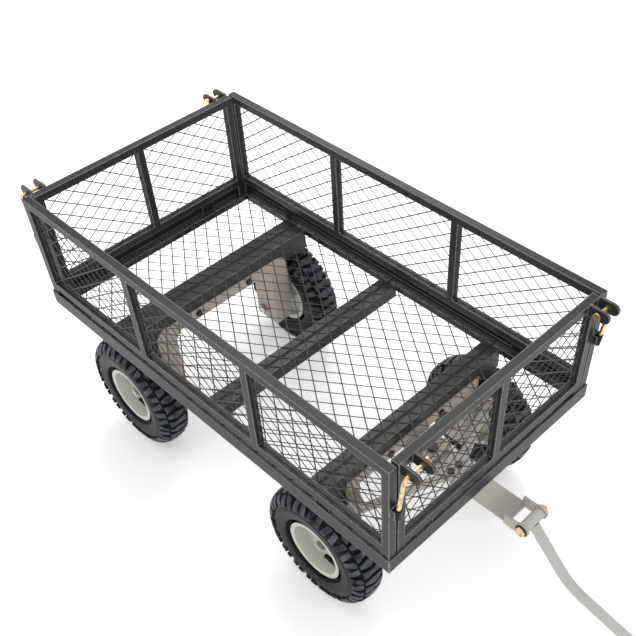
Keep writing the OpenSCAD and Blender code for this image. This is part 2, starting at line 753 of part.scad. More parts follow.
// Welded frame of square tube, drawn along X with its middle plane at y = 0
module tube_frame(half, posts, tab_place, tab_y) {
    low = floor_top_z;
    bottom_mid = panel_low_z + tube_w / 2;
    top_mid = panel_top_z - tube_w / 2;
    end_mid = half - tube_w / 2;
    difference() {
        union() {
            for (s = [-1, 1]) post(s * end_mid, tube_w, low, panel_top_z);
            for (x = posts) post(x, tube_w, panel_low_z, panel_top_z);
            for (z = [bottom_mid, top_mid])
                box(-end_mid, end_mid, -tube_w / 2, tube_w / 2, z - tube_w / 2, z + tube_w / 2);
        }
        for (s = [-1, 1]) post(s * end_mid, bore_w, low - 1, panel_top_z - tube_t);
        for (x = posts) post(x, bore_w, panel_low_z + tube_t, panel_top_z - tube_t);
        for (z = [bottom_mid, top_mid])
            box(-end_mid, end_mid, -bore_w / 2, bore_w / 2, z - bore_w / 2, z + bore_w / 2);
    }
    for (s = [-1, 1])
        box(s * tab_place - tab_w / 2, s * tab_place + tab_w / 2, tab_y - tab_t / 2, tab_y + tab_t / 2,
            panel_low_z - tab_depth, panel_low_z + tube_t / 2);
}

// Mesh sheets in the bays between neighbouring posts
module bay_meshes(half, posts) {
    edges = concat([-half + tube_w / 2], posts, [half - tube_w / 2]);
    z0 = panel_low_z + tube_w;
    z1 = panel_top_z - tube_w;
    for (i = [0:len(edges) - 2]) {
        bay = edges[i + 1] - edges[i] - tube_w;
        translate([(edges[i] + edges[i + 1]) / 2, mesh_t / 2, (z0 + z1) / 2]) rotate([90, 0, 0])
            linear_extrude(mesh_t) mesh_plan(bay, z1 - z0, panel_pitch_x, panel_pitch_z);
    }
}

side_mid_y = panel_out_y - tube_w / 2;
end_mid_x = panel_out_x - tube_w / 2;
side_tab_y = half_w - tab_in + tab_t / 2 - side_mid_y;
end_tab_x = half_l - tab_in + tab_t / 2 - end_mid_x;

// Catch on a side panel's end post, where the latch's tip rests
module latch_catch() {
    z = latch_z - (latch_leg - tip_l / 2) * cos(latch_tilt);
    half_gap = tip_d / 2 + catch_gap;
    translate([panel_out_x - eps, latch_y, z - catch_h / 2]) {
        translate([0, -half_gap - catch_cheek_t, 0])
            cube([catch_base_t + eps, 2 * half_gap + catch_cheek_t, catch_h]);
        for (y = [-half_gap - catch_cheek_t, half_gap])
            translate([0, y, 0]) cube([catch_depth + eps, catch_cheek_t, catch_h]);
        translate([0, half_gap - 1, 0]) cube([catch_base_t + eps, catch_cheek_t + 1, catch_h]);
    }
}

module panel_frame_side(side) color(black_coat) from_bed() mirror([0, side < 0 ? 1 : 0, 0]) {
    translate([0, side_mid_y, 0])
        tube_frame(panel_out_x, [-upright_x, upright_x], side_tab_x, side_tab_y);
    latch_catch();
    mirror([1, 0, 0]) latch_catch();
}

module panel_frame_left() panel_frame_side(1);

module panel_frame_right() panel_frame_side(-1);

module panel_mesh_left() color(black_coat) from_bed()
    translate([0, side_mid_y, 0]) bay_meshes(panel_out_x, [-upright_x, upright_x]);

module panel_mesh_right() color(black_coat) from_bed()
    translate([0, -side_mid_y, 0]) bay_meshes(panel_out_x, [-upright_x, upright_x]);

// Round ear that carries the latch rod on an end panel's outer face
module latch_ear(y) along_y(y - ear_t / 2, y + ear_t / 2) difference() {
    union() {
        translate([latch_x + ear_over, latch_z]) circle(r = ear_r);
        translate([panel_out_x - eps, latch_z - ear_r]) square([latch_off + ear_over + eps, 2 * ear_r]);
    }
    translate([latch_x, latch_z]) circle(r = latch_d / 2 + run_gap);
}

module panel_frame_end(dir) color(black_coat) from_bed() mirror([dir < 0 ? 1 : 0, 0, 0]) {
    translate([end_mid_x, 0, 0]) rotate([0, 0, 90]) mirror([0, 1, 0])
        tube_frame(end_half_y, [0], end_tab_y, end_tab_x);
    for (s = [-1, 1], d = ear_places) latch_ear(s * (latch_y - d));
}

module panel_frame_front() panel_frame_end(1);

module panel_frame_rear() panel_frame_end(-1);

module panel_mesh_front() color(black_coat) from_bed()
    translate([end_mid_x, 0, 0]) rotate([0, 0, 90]) bay_meshes(end_half_y, [0]);

module panel_mesh_rear() color(black_coat) from_bed()
    translate([-end_mid_x, 0, 0]) rotate([0, 0, 90]) bay_meshes(end_half_y, [0]);

// Latches, drawn at the front left corner and mirrored to the others

module at_latch(dir, side)
    mirror([dir < 0 ? 1 : 0, 0, 0]) mirror([0, side < 0 ? 1 : 0, 0])
        translate([latch_x, latch_y, latch_z]) rotate([0, latch_tilt, 0]) children();

// Rod through the ears, disc on its inner end, bend and hanging leg
module latch_rod(dir, side) color(zinc_yellow) from_bed() at_latch(dir, side) {
    translate([0, -latch_bend_r, 0]) rotate([90, 0, 0])
        cylinder(h = latch_rod_l - latch_bend_r, r = latch_d / 2);
    translate([0, -latch_rod_l + disc_t, 0]) rotate([90, 0, 0]) cylinder(h = disc_t, r = disc_d / 2);
    translate([0, -latch_bend_r, -latch_bend_r]) rotate([0, -90, 0]) rotate_extrude(angle = 90)
        translate([latch_bend_r, 0]) circle(r = latch_d / 2);
    translate([0, 0, -latch_leg + 4]) cylinder(h = latch_leg - 4 - latch_bend_r, r = latch_d / 2);
}

module latch_tip(dir, side) color(rubber_black) from_bed() at_latch(dir, side)
    translate([0, 0, -latch_leg]) difference() {
        cylinder(h = tip_l, r = tip_d / 2);
        translate([0, 0, 4 - run_gap]) cylinder(h = tip_l, r = latch_d / 2 + run_gap);
    }

bed_rail_left();
bed_rail_right();
bed_rail_front();
bed_rail_rear();
floor_mesh();
crossbar_rear();
crossbar_middle();
crossbar_front();
rear_axle_carrier();
front_axle_beam();
carrier_bolts();
rear_axle_shafts();
rear_axle_nuts();
steering_pivot_bolts();
tongue();
tie_rod_bolts();
handle_pivot_bolt();
tie_rod_left();
tie_rod_right();
knuckle_left();
knuckle_right();
axle_nut_front_left();
axle_nut_front_right();
handle_tube();
handle_bush();
handle_grip();
grip_sleeve();
tyre(front_axle_x, 1);  // tyre_front_left
rim(front_axle_x, 1);  // rim_front_left
bearings(front_axle_x, 1);  // bearings_front_left
valve(front_axle_x, 1);  // valve_front_left
tyre(front_axle_x, -1);  // tyre_front_right
rim(front_axle_x, -1);  // rim_front_right
bearings(front_axle_x, -1);  // bearings_front_right
valve(front_axle_x, -1);  // valve_front_right
tyre(rear_axle_x, 1);  // tyre_rear_left
rim(rear_axle_x, 1);  // rim_rear_left
bearings(rear_axle_x, 1);  // bearings_rear_left
valve(rear_axle_x, 1);  // valve_rear_left
tyre(rear_axle_x, -1);  // tyre_rear_right
rim(rear_axle_x, -1);  // rim_rear_right
bearings(rear_axle_x, -1);  // bearings_rear_right
valve(rear_axle_x, -1);  // valve_rear_right
panel_frame_left();
panel_mesh_left();
panel_frame_right();
panel_mesh_right();
panel_frame_front();
panel_mesh_front();
panel_frame_rear();
panel_mesh_rear();
latch_rod(1, 1);  // latch_rod_front_left
latch_tip(1, 1);  // latch_tip_front_left
latch_rod(1, -1);  // latch_rod_front_right
latch_tip(1, -1);  // latch_tip_front_right
latch_rod(-1, 1);  // latch_rod_rear_left
latch_tip(-1, 1);  // latch_tip_rear_left
latch_rod(-1, -1);  // latch_rod_rear_right
latch_tip(-1, -1);  // latch_tip_rear_right
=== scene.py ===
# %% [markdown]
# # A steel mesh garden cart
# The cart's construction comes from its CAD model: every rail, panel, bolt and wheel is
# already at its real size and place. This lesson gives those pieces their finishes, and
# models again by hand what a plain solid can't show: the thin strands of the mesh, the
# lugged tyres, the rolled rims, the valve stems and the smooth bend of the handle.
# Lengths are in metres, +X points forward to the handle, +Y to the cart's left and +Z up.

import json
import math

import bpy
from mathutils import Matrix, Vector


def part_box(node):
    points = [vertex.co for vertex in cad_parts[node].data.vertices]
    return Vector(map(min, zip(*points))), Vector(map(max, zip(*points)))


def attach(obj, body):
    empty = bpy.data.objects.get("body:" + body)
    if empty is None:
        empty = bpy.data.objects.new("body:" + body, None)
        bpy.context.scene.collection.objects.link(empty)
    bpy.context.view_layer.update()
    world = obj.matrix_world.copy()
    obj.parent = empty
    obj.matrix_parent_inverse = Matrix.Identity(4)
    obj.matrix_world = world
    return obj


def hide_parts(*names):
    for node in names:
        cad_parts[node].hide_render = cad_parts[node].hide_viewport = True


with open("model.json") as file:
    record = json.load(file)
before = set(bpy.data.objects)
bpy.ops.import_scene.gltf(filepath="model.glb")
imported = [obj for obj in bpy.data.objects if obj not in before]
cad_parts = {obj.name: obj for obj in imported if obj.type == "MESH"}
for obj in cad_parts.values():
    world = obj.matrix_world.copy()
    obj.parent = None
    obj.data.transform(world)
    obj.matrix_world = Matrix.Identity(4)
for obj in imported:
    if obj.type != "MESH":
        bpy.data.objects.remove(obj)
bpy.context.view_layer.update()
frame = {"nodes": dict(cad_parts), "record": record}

# %% [markdown]
# ## The camera
# The photograph was taken from above the cart's front right corner with a normal lens,
# and then cropped, which leaves a small shift. The place and the angles were found by
# lining up the cart's corners with the picture, and are kept from the middle of the bed's
# lip. Blender's camera looks along its own -Z, so its matrix is built from the three
# directions: right, up and backwards.

# %% Place the camera
FRAME_PIXELS = 636
FOCAL_PIXELS = 906.3
CENTRE_X_PIXELS = 36.0
CENTRE_Y_PIXELS = 112.0
HEADING = math.radians(-46.71)
DOWNWARD = math.radians(49.40)
ROLL = math.radians(-2.57)
CAMERA_FROM_BED = Vector((1.2807, -1.0497, 1.5532))

rail_low, rail_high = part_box("bed_rail_right")
bed_middle = Vector(((rail_low.x + rail_high.x) / 2, 0, rail_high.z))
camera_place = bed_middle + CAMERA_FROM_BED

forward = Vector((math.sin(HEADING) * math.cos(DOWNWARD),
                  math.cos(HEADING) * math.cos(DOWNWARD), -math.sin(DOWNWARD)))
level_right = Vector((math.cos(HEADING), -math.sin(HEADING), 0))
level_up = level_right.cross(forward)
right = math.cos(ROLL) * level_right + math.sin(ROLL) * level_up
up = -math.sin(ROLL) * level_right + math.cos(ROLL) * level_up

camera_data = bpy.data.cameras.new("camera")
camera = bpy.data.objects.new("camera", camera_data)
bpy.context.scene.collection.objects.link(camera)
camera.matrix_world = (Matrix.Translation(camera_place)
                       @ Matrix((right, up, -forward)).transposed().to_4x4())
camera_data.lens = camera_data.sensor_width * FOCAL_PIXELS / FRAME_PIXELS
camera_data.shift_x = -CENTRE_X_PIXELS / FRAME_PIXELS
camera_data.shift_y = CENTRE_Y_PIXELS / FRAME_PIXELS
bpy.context.scene.camera = camera
print("camera lens", round(camera_data.lens, 1), "mm")

# %% [markdown]
# ## Studio light
# The photograph has a white background and almost no shadow, and upward faces are twice
# as light as upright ones. So the room is a bright even world, and one large soft light
# hangs behind the cart, where a level satin face mirrors it to the camera and an upright
# one doesn't. A weak light from the camera's side opens up the wheels.

# %% Light the studio
def soft_light(name, place, aim, size, power):
    light = bpy.data.lights.new(name, "AREA")
    light.shape = "DISK"
    light.size = size
    light.energy = power
    lamp = bpy.data.objects.new(name, light)
    lamp.location = place
    lamp.rotation_euler = (Vector(aim) - Vector(place)).to_track_quat("-Z", "Y").to_euler()
    bpy.context.scene.collection.objects.link(lamp)


soft_light("key_light", bed_middle + Vector((-1.6, 1.7, 2.6)), bed_middle, size=1.9, power=55)
soft_light("fill_light", bed_middle + Vector((1.4, -2.6, 1.2)), bed_middle, size=1.6, power=10)
world = bpy.data.worlds.new("studio")
bpy.context.scene.world = world
world.use_nodes = True
world.node_tree.nodes["Background"].inputs["Color"].default_value = (1, 1, 1, 1)
world.node_tree.nodes["Background"].inputs["Strength"].default_value = 1.0
bpy.context.scene.view_settings.view_transform = "Standard"
print("two soft lights and a bright world")

# %% [markdown]
# ## Helpers for materials
# A colour is written as its sRGB hex value, as one reads it from a colour picker, and one
# function turns it to the linear values that shaders use. Another adds a node with its
# settings and links. Patterns read Object coordinates, which are metres here, so a
# texture's scale is the number of its features in a metre. Names that end in _MM hold
# millimetres, as one measures the real cart.

# %% Define the material helpers
def srgb(hex_colour):
    channels = [int(hex_colour[i:i + 2], 16) / 255 for i in (1, 3, 5)]
    return (*[c / 12.92 if c <= 0.04045 else ((c + 0.055) / 1.055) ** 2.4 for c in channels], 1)


MM = 0.001


def per_metre(millimetres):
    return 1000 / millimetres


def add_node(material, kind, inputs=None, links=None, **settings):
    node = material.node_tree.nodes.new(kind)
    for name, value in settings.items():
        setattr(node, name, value)
    for name, value in (inputs or {}).items():
        node.inputs[name].default_value = value
    for name, socket in (links or {}).items():
        material.node_tree.links.new(socket, node.inputs[name])
    return node


def new_material(name):
    material = bpy.data.materials.new(name)
    material.use_nodes = True
    return material, material.node_tree.nodes["Principled BSDF"]


print("a mid grey is", [round(c, 3) for c in srgb("#808080")])

# %% [markdown]
# ## Powder coat
# The cart's steel is powder coated: dry paint is dusted on and baked, which leaves a
# satin skin with a faint orange peel a few millimetres across. Its edges catch the light
# as thin bright lines, and these highlights are painted into the colour: where an edge
# is near, a light edge colour is mixed in, broken up by a noise. The same recipe
# makes the black frame, the taupe undercarriage, the warm grey tongue, the grey handle
# and the light grey rims. A Bevel node rounds the shading of every edge as the coat
# does, and where its normal leaves the face's own normal, an edge is near. The cosine of
# the angle between the two says how near. The peel is low, so it blurs what the coat
# mirrors and isn't seen as dents.

# %% Make the powder coats
CLOUD_MM = 70
HIGHLIGHT_BREAK_MM = 9
PEEL_MM = 2.2
PEEL_HEIGHT_MM = 0.4
COSINE_OFF_EDGE = 0.985
COSINE_ON_EDGE = 0.8
MOST_EDGE_HIGHLIGHT = 1.3


# edge is the colour of a painted highlight along the edges; deep and light are the coat's own
# tones.
def powder_coat(name, deep, light, edge, roughness, edge_mm):
    material, surface = new_material(name)
    place = add_node(material, "ShaderNodeTexCoord")
    cloud = add_node(material, "ShaderNodeTexNoise", {"Scale": per_metre(CLOUD_MM), "Detail": 3},
                     {"Vector": place.outputs["Object"]})
    skin = add_node(material, "ShaderNodeMix", {"A": srgb(deep), "B": srgb(light)},
                    {"Factor": cloud.outputs["Fac"]}, data_type="RGBA")
    round_edge = add_node(material, "ShaderNodeBevel", {"Radius": edge_mm * MM}, samples=6)
    face = add_node(material, "ShaderNodeNewGeometry")
    same_way = add_node(material, "ShaderNodeVectorMath", operation="DOT_PRODUCT")
    highlight_break = add_node(material, "ShaderNodeTexNoise", {"Scale": per_metre(HIGHLIGHT_BREAK_MM), "Detail": 3},
                   {"Vector": place.outputs["Object"]})
    # Where an edge is near, the light edge colour is mixed in, broken up by a noise: a painted
    # highlight along the edges.
    edge_highlight_amount = add_node(material, "ShaderNodeMapRange",
                    {"From Min": COSINE_OFF_EDGE, "From Max": COSINE_ON_EDGE, "To Max": MOST_EDGE_HIGHLIGHT},
                    {"Value": same_way.outputs["Value"]})
    broken_edge_highlight = add_node(material, "ShaderNodeMath", operation="MULTIPLY")
    colour = add_node(material, "ShaderNodeMix", {"B": srgb(edge)},
                      {"Factor": broken_edge_highlight.outputs["Value"]}, data_type="RGBA")
    peel = add_node(material, "ShaderNodeTexNoise", {"Scale": per_metre(PEEL_MM), "Detail": 2},
                    {"Vector": place.outputs["Object"]})
    bump = add_node(material, "ShaderNodeBump",
                    {"Strength": 0.14, "Distance": PEEL_HEIGHT_MM * MM},
                    {"Height": peel.outputs["Fac"], "Normal": round_edge.outputs["Normal"]})
    gloss = add_node(material, "ShaderNodeMapRange",
                     {"To Min": roughness - 0.05, "To Max": roughness + 0.07},
                     {"Value": cloud.outputs["Fac"]})
    join = material.node_tree.links.new
    join(round_edge.outputs["Normal"], same_way.inputs[0])
    join(face.outputs["Normal"], same_way.inputs[1])
    join(edge_highlight_amount.outputs["Result"], broken_edge_highlight.inputs[0])
    join(highlight_break.outputs["Fac"], broken_edge_highlight.inputs[1])
    join(skin.outputs["Result"], colour.inputs["A"])
    join(colour.outputs["Result"], surface.inputs["Base Color"])
    join(bump.outputs["Normal"], surface.inputs["Normal"])
    join(gloss.outputs["Result"], surface.inputs["Roughness"])
    surface.inputs["IOR"].default_value = 1.5
    surface.inputs["Specular IOR Level"].default_value = 0.22
    return material


# The black frame: a dark satin skin whose painted edge highlights are drawn wide enough to show
# from here.
black_coat = powder_coat("black_powder_coat", "#252526", "#303031", "#c4c4c2", 0.38, 3.4)
# The mesh: a paler copy of the black coat; its extra lightness is painted light, for the light
# that the thin strands catch.
mesh_coat = powder_coat("black_powder_coat_on_mesh", "#3a3a3b", "#464647", "#666666", 0.42, 0.4)
# The axle carriers: a duller, brownish coat that stays light in the shade under the bed.
taupe_coat = powder_coat("taupe_powder_coat", "#a1978f", "#aea49c", "#c3bab3", 0.45, 1.2)
# The tongue and tie rods: a warm grey with soft painted highlights along its edges.
tongue_coat = powder_coat("warm_grey_powder_coat", "#aaa39e", "#b7b0aa", "#cfcac5", 0.42, 1.5)
# The handle: a neutral grey that is a little smoother, so the round tube has a soft gleam.
tube_coat = powder_coat("grey_powder_coat", "#adada9", "#b9b9b5", "#d0d0cc", 0.36, 1.0)
# The rims: a pale, faintly green grey, the smoothest of the coats.
rim_coat = powder_coat("light_grey_powder_coat", "#b3b4ac", "#bfc0b8", "#dcdcd6", 0.32, 1.4)
print("six powder coats")

# %% [markdown]
# ## Bare and plated metals
# Latch rods and the clevis bolt are zinc plated and then passivated, which leaves a thin
# film with gold and pink patches. Bolts under the bed have a dark oxide skin. Axles, their
# nuts and the bearings are ground steel, bright and even. A metal's colour is its base
# colour, so a slow noise runs through three tints of it. The real grain is far too fine
# to show, so it is drawn at about a millimetre, where it softens the reflections.

# %% Make the metals
GRAIN_MM = 1.2
BROKEN_EDGE_MM = 0.6


def plated_metal(name, tints, roughness, patch_mm):
    material, surface = new_material(name)
    place = add_node(material, "ShaderNodeTexCoord")
    patches = add_node(material, "ShaderNodeTexNoise", {"Scale": per_metre(patch_mm), "Detail": 2},
                       {"Vector": place.outputs["Object"]})
    ramp = add_node(material, "ShaderNodeValToRGB", None, {"Fac": patches.outputs["Fac"]})
    ramp.color_ramp.elements[0].position = 0.35
    ramp.color_ramp.elements[1].position = 0.65
    ramp.color_ramp.elements[0].color = srgb(tints[0])
    ramp.color_ramp.elements[1].color = srgb(tints[2])
    ramp.color_ramp.elements.new(0.5).color = srgb(tints[1])
    grain = add_node(material, "ShaderNodeTexNoise", {"Scale": per_metre(GRAIN_MM), "Detail": 2},
                     {"Vector": place.outputs["Object"]})
    round_edge = add_node(material, "ShaderNodeBevel", {"Radius": BROKEN_EDGE_MM * MM}, samples=4)
    bump = add_node(material, "ShaderNodeBump", {"Strength": 0.1, "Distance": 0.0003},
                    {"Height": grain.outputs["Fac"], "Normal": round_edge.outputs["Normal"]})
    links = material.node_tree.links
    links.new(ramp.outputs["Color"], surface.inputs["Base Color"])
    links.new(bump.outputs["Normal"], surface.inputs["Normal"])
    surface.inputs["Metallic"].default_value = 1
    surface.inputs["Roughness"].default_value = roughness
    return material


yellow_zinc = plated_metal("yellow_passivated_zinc", ("#d8bd80", "#e6d5a4", "#cc9668"), 0.3, 14)
black_bolts = plated_metal("black_oxide_steel", ("#3a3a3b", "#444445", "#333334"), 0.45, 20)
ground_steel = plated_metal("ground_steel", ("#a9abac", "#b6b8b9", "#9fa1a3"), 0.28, 30)
print("three metals")

# %% [markdown]
# ## Rubber
# Tyres, valves, latch tips and the grip are moulded rubber filled with carbon black.
# Moulds leave it satin, so it has a faint sheen. The tyres' mesh carries an attribute
# named relief: its grooves stay near black, which is painted shade, and the lugs' tops
# take a light dusty colour in patches, partly dust and partly painted light. The grain is
# drawn at a millimetre, coarser than the real one.

# %% Make the rubbers
DUST_MM = 30
RUBBER_GRAIN_MM = 1.1
GROOVE_DUST_AND_SHADE = 0.04
LUG_DUST_AND_LIGHT = 0.9


def moulded_rubber(name, deep, dusty_and_lit, roughness, dust_and_shade_by=None):
    """Black rubber with patches of dust; where a relief attribute is named, the grooves stay dark
    as painted shade and the lug tops take the light colour, partly dust and partly painted light.
    """
    material, surface = new_material(name)
    place = add_node(material, "ShaderNodeTexCoord")
    dust = add_node(material, "ShaderNodeTexNoise", {"Scale": per_metre(DUST_MM), "Detail": 5},
                    {"Vector": place.outputs["Object"]})
    amount = add_node(material, "ShaderNodeMapRange", {"From Min": 0.3, "From Max": 0.7},
                      {"Value": dust.outputs["Fac"]})
    if dust_and_shade_by:
        # The grooves stay near the deep colour as painted shade; the lugs' tops take the light
        # colour, partly dust and partly painted light.
        relief = add_node(material, "ShaderNodeAttribute", attribute_name=dust_and_shade_by)
        relief_dust_and_shade = add_node(material, "ShaderNodeMapRange",
                           {"To Min": GROOVE_DUST_AND_SHADE, "To Max": LUG_DUST_AND_LIGHT},
                           {"Value": relief.outputs["Fac"]})
        material.node_tree.links.new(relief_dust_and_shade.outputs["Result"], amount.inputs["To Max"])
    colour = add_node(material, "ShaderNodeMix", {"A": srgb(deep), "B": srgb(dusty_and_lit)},
                      {"Factor": amount.outputs["Result"]}, data_type="RGBA")
    grain = add_node(material, "ShaderNodeTexNoise",
                     {"Scale": per_metre(RUBBER_GRAIN_MM), "Detail": 2},
                     {"Vector": place.outputs["Object"]})
    bump = add_node(material, "ShaderNodeBump", {"Strength": 0.2, "Distance": 0.0003},
                    {"Height": grain.outputs["Fac"]})
    join = material.node_tree.links.new
    join(colour.outputs["Result"], surface.inputs["Base Color"])
    join(bump.outputs["Normal"], surface.inputs["Normal"])
    surface.inputs["Roughness"].default_value = roughness
    surface.inputs["IOR"].default_value = 1.52
    surface.inputs["Specular IOR Level"].default_value = 0.1
    return material


# The tyre: its grooves are painted dark as shade and its lug tops light, partly dust and partly
# painted light.
tyre_rubber = moulded_rubber("tyre_rubber", "#0e0e10", "#5c6066", 0.34, "relief")
black_rubber = moulded_rubber("soft_rubber", "#111112", "#202021", 0.5)
print("two rubbers")

# %% [markdown]
# ## Dress the CAD pieces
# Each piece of the frame names a material slot in the record. A piece keeps its mesh
# and only gets the finish that belongs to its slot. The bush across the handle's end was
# coated with the tube that it is welded to, so it takes the tube's grey.

# %% Give every CAD piece its finish
FINISHES = {
    "black_coat": black_coat, "taupe_coat": taupe_coat, "tongue_coat": tongue_coat,
    "tube_coat": tube_coat, "rim_coat": rim_coat, "yellow_zinc": yellow_zinc,
    "black_bolts": black_bolts, "bearing_steel": ground_steel,
    "tyre_rubber": tyre_rubber, "black_rubber": black_rubber,
}
for subpart in frame["record"]["subparts"]:
    for slot in frame["nodes"][subpart["node"]].material_slots:
        slot.material = FINISHES[subpart["material_slot"]]
for slot in frame["nodes"]["handle_bush"].material_slots:
    slot.material = tube_coat

# %% [markdown]
# ## Helpers for modelling
# An operator works on whatever is selected, so each new piece starts with nothing
# selected. Pieces that repeat are modelled once round the origin and copied with their
# own mesh. A finished piece keeps its object at the origin, with its place in its mesh.

# %% Define the modelling helpers
def select_only(*pieces):
    bpy.ops.object.select_all(action="DESELECT")
    for piece in pieces:
        piece.select_set(True)
    if pieces:
        bpy.context.view_layer.objects.active = pieces[0]


def apply_modifiers(piece):
    bpy.context.view_layer.objects.active = piece
    for modifier in list(piece.modifiers):
        bpy.ops.object.modifier_apply(modifier=modifier.name)


def tidy_mesh(piece, merge=0.00002):
    """Merges doubles and turns all faces outward."""
    select_only(piece)
    bpy.ops.object.mode_set(mode="EDIT")
    bpy.ops.mesh.select_all(action="SELECT")
    bpy.ops.mesh.remove_doubles(threshold=merge)
    bpy.ops.mesh.normals_make_consistent(inside=False)
    bpy.ops.object.mode_set(mode="OBJECT")


def smooth(piece, degrees=35):
    """Shades faces that meet at less than this angle as one round surface."""
    select_only(piece)
    bpy.ops.object.shade_smooth_by_angle(angle=math.radians(degrees))


def copy_to(model, name, matrix):
    """A copy with its own mesh, turned the right way out where the matrix mirrors it."""
    piece = bpy.data.objects.new(name, model.data.copy())
    bpy.context.scene.collection.objects.link(piece)
    piece.data.transform(matrix)
    if matrix.determinant() < 0:
        piece.data.flip_normals()
    piece.data.update()
    return piece


def finish_piece(piece, material, slot, body, *replaced):
    """Dresses a piece, hangs it on its body and hides the CAD nodes it stands for. Its slot is not
    used.
    """
    piece.data.materials.clear()
    piece.data.materials.append(material)
    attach(piece, body)
    if replaced:
        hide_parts(*replaced)


def turned(name, section, steps, round_mm=0.0):
    """Turns a closed section of (radius, along) points in mm round the Y axis."""
    select_only()
    bpy.ops.mesh.primitive_circle_add(vertices=len(section), radius=1)
    piece = bpy.context.object
    piece.name = name
    for vertex, (radius, along) in zip(piece.data.vertices, section):
        vertex.co = (radius * MM, along * MM, 0)
    if round_mm:
        corner = piece.modifiers.new("corner", "BEVEL")
        corner.affect = "VERTICES"
        corner.width = round_mm * MM
        corner.segments = 3
    turn = piece.modifiers.new("turn", "SCREW")
    turn.axis = "Y"
    turn.steps = turn.render_steps = steps
    turn.use_merge_vertices = True
    turn.merge_threshold = 0.00001
    apply_modifiers(piece)
    tidy_mesh(piece)
    smooth(piece)
    return piece


CORNERS = ("front_left", "front_right", "rear_left", "rear_right")


def wheel_place(corner):
    """Matrix from a wheel modelled at the origin, +Y outward and the valve at +X, to a corner."""
    low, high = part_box("tyre_" + corner)
    middle = (low + high) / 2
    outward = Matrix.Identity(4) if middle.y > 0 else Matrix.Scale(-1, 4, Vector((0, 1, 0)))
    return Matrix.Translation(middle) @ outward


for corner in CORNERS:
    print(corner, "wheel centre at", [round(v, 3) for v in wheel_place(corner).translation])

# %% [markdown]
# ## The mesh
# Expanded mesh starts as a flat sheet that is slit and pulled open into diamonds, and
# each sheet is welded in along its rim. Here a grid has one cell for each diamond. Poke
# draws each cell's two diagonals, the grid's own inner edges are dissolved, and the
# Wireframe modifier makes a strand of every edge that is left. Its strands are square,
# so the sheet is then flattened: a slit strand is wider than the sheet is thick. The
# sheets fill the same places as the CAD model's: four on the crossbars and one in each
# bay of a panel.

# %% Weave one sheet of mesh
STRAND_MM = 3.0
SHEET_MM = 2.2


def mesh_sheet(length, width, pitch_l, pitch_w):
    """Sheet round the origin in the XY plane, with its rim inside length and width."""
    cells_l = max(1, round(length / pitch_l))
    cells_w = max(1, round(width / pitch_w))
    half = Vector(((length - STRAND_MM * MM) / 2, (width - STRAND_MM * MM) / 2, 0))
    select_only()
    bpy.ops.mesh.primitive_grid_add(x_subdivisions=cells_l, y_subdivisions=cells_w, size=2)
    sheet = bpy.context.object
    sheet.data.transform(Matrix.Diagonal((half.x, half.y, 1, 1)))
    bpy.ops.object.mode_set(mode="EDIT")
    bpy.ops.mesh.select_all(action="SELECT")
    bpy.ops.mesh.poke()
    bpy.ops.mesh.select_mode(type="EDGE")
    bpy.ops.mesh.select_all(action="DESELECT")
    bpy.ops.object.mode_set(mode="OBJECT")
    for edge in sheet.data.edges:
        a, b = (sheet.data.vertices[i].co for i in edge.vertices)
        middle = (a + b) / 2
        straight = min(abs(a.x - b.x), abs(a.y - b.y)) < 1e-5
        inner = half.x - abs(middle.x) > 1e-4 and half.y - abs(middle.y) > 1e-4
        edge.select = straight and inner
    bpy.ops.object.mode_set(mode="EDIT")
    bpy.ops.mesh.dissolve_edges(use_verts=False)
    bpy.ops.object.mode_set(mode="OBJECT")
    strands = sheet.modifiers.new("strands", "WIREFRAME")
    strands.thickness = STRAND_MM * MM
    apply_modifiers(sheet)
    sheet.data.transform(Matrix.Diagonal((1, 1, SHEET_MM / STRAND_MM, 1)))
    tidy_mesh(sheet)
    return sheet


# %% Hang the sheets in the bed and the panels
UPRIGHTS = [bed_middle.x - 0.202, bed_middle.x + 0.202]
TUBE_WIDTH = 0.020
FLOOR_SEAMS = [bed_middle.x - 0.366, bed_middle.x, bed_middle.x + 0.350]
SEAM_GAP = 0.001
FLOOR_DIAMOND = (0.060, 0.040)
PANEL_DIAMOND = (0.054, 0.038)
LYING = Matrix.Identity(4)
ALONG_SIDE = Matrix.Rotation(math.pi / 2, 4, "X")
ALONG_END = Matrix.Rotation(math.pi / 2, 4, "Z") @ ALONG_SIDE


def bays(low, high, walls, wall_width):
    """Ends of the stretches between walls from low to high."""
    edges = [low] + [w + s * wall_width / 2 for w in walls for s in (-1, 1)] + [high]
    return list(zip(edges[::2], edges[1::2]))


def hang_sheets(node, body, axis, turn, walls, wall_width, diamond):
    """Fills a mesh node's box with sheets between walls along axis 0 (X) or 1 (Y)."""
    low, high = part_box(node)
    across = 1 if turn is LYING else 2
    middle = (low + high) / 2
    sheets = []
    for start, end in bays(low[axis], high[axis], walls, wall_width):
        sheet = mesh_sheet(end - start, high[across] - low[across], *diamond)
        place = middle.copy()
        place[axis] = (start + end) / 2
        sheet.data.transform(Matrix.Translation(place) @ turn)
        sheets.append(sheet)
    select_only(*sheets)
    bpy.ops.object.join()
    piece = bpy.context.object
    piece.name = node + "_strands"
    finish_piece(piece, mesh_coat, "black_coat", body, node)
    return len(piece.data.polygons)


faces = hang_sheets("floor_mesh", "chassis", 0, LYING, FLOOR_SEAMS, SEAM_GAP, FLOOR_DIAMOND)
for panel in ("left", "right"):
    faces += hang_sheets("panel_mesh_" + panel, "panel_" + panel, 0, ALONG_SIDE,
                         UPRIGHTS, TUBE_WIDTH, PANEL_DIAMOND)
for panel in ("front", "rear"):
    faces += hang_sheets("panel_mesh_" + panel, "panel_" + panel, 1, ALONG_END,
                         [0], TUBE_WIDTH, PANEL_DIAMOND)
print("the mesh has", faces, "faces")

